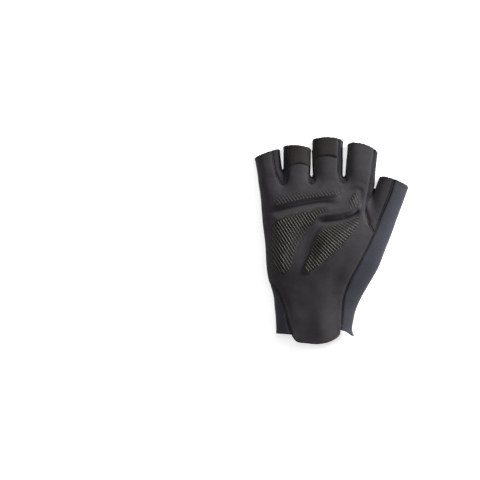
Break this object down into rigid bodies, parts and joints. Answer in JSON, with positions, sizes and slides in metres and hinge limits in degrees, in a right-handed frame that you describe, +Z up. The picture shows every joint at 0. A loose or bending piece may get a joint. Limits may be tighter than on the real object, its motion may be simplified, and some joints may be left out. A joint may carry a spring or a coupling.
{
  "type": "fingerless cycling glove",
  "caption": "Fingerless sport glove for the right hand, lying on its back: a thin sewn shell, hollow from wrist to open finger ends, with raised gel pads on the palm.",
  "frame": {"origin": "the middle of the glove's box, on the surface that it lies on", "axes": "+Z up, out of the palm; +Y from the wrist to the fingertips; +X to the thumb's side"},
  "size_m": [0.1389, 0.1861, 0.027],
  "materials": {
    "suede": "charcoal microfibre suede, matt with a fine nap",
    "mesh": "black perforated knitted mesh",
    "stretch": "blue-grey stretch knit with a soft sheen",
    "strip": "near-black stretch knit",
    "pad": "microfibre suede moulded over a soft gel, with printed silicone ribs",
    "silicone": "printed silicone grip ribs, satin",
    "thread": "black polyester sewing thread"
  },
  "bodies": {
    "root": {"palm_panel": "suede", "back_panel": "mesh", "thumb_panel": "suede", "side_and_cuff": "stretch", "strip_little_ring": "strip", "strip_ring_middle": "strip", "strip_middle_index": "strip", "strip_index_side": "strip", "knuckle_pad": "pad", "outer_pad": "pad", "thumb_base_pad": "pad", "pull_tab_ring": "suede", "pull_tab_middle": "suede"}
  },
  "joints": []
}
